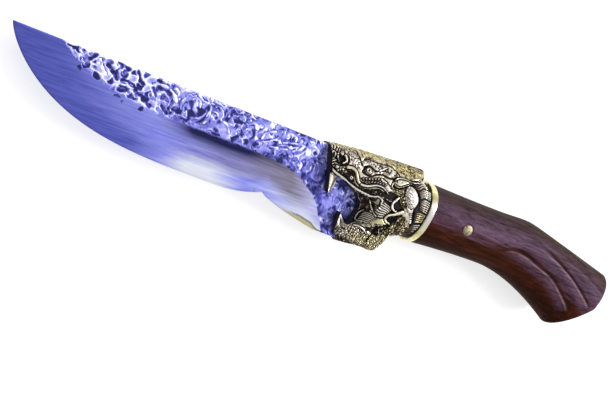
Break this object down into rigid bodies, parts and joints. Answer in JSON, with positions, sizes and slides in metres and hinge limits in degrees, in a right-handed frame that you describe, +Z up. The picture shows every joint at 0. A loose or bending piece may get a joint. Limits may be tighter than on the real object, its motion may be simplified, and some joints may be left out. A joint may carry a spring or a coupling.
{
  "type": "fixed-blade knife",
  "caption": "Fixed-blade knife with a hammered, upswept steel blade, a cast brass dragon-head bolster and a curved, fluted wooden handle.",
  "frame": {"origin": "on the surface that the knife lies on, under the middle of its outline", "axes": "+X from the point towards the butt, +Y towards the spine, +Z up, away from the surface, out of the side that the picture shows"},
  "size_m": [0.298, 0.0434, 0.0278],
  "materials": {
    "forged_steel": "satin ground bevels under hammered, blue-violet forged flats",
    "cast_brass": "cast, worn bright on the high strands, near-black patina in the hollows",
    "polished_brass": "polished pale brass",
    "rosewood": "oiled dark red-brown wood with fine long grain",
    "pin_brass": "ground flush with the wood, dulled",
    "dark_resin": "cast resin, hidden"
  },
  "bodies": {
    "root": {"blade": "forged_steel", "dragon_bolster": "cast_brass", "ferrule_band": "polished_brass", "wooden_handle": "rosewood", "handle_pin": "pin_brass", "tang_bedding": "dark_resin"}
  },
  "joints": []
}
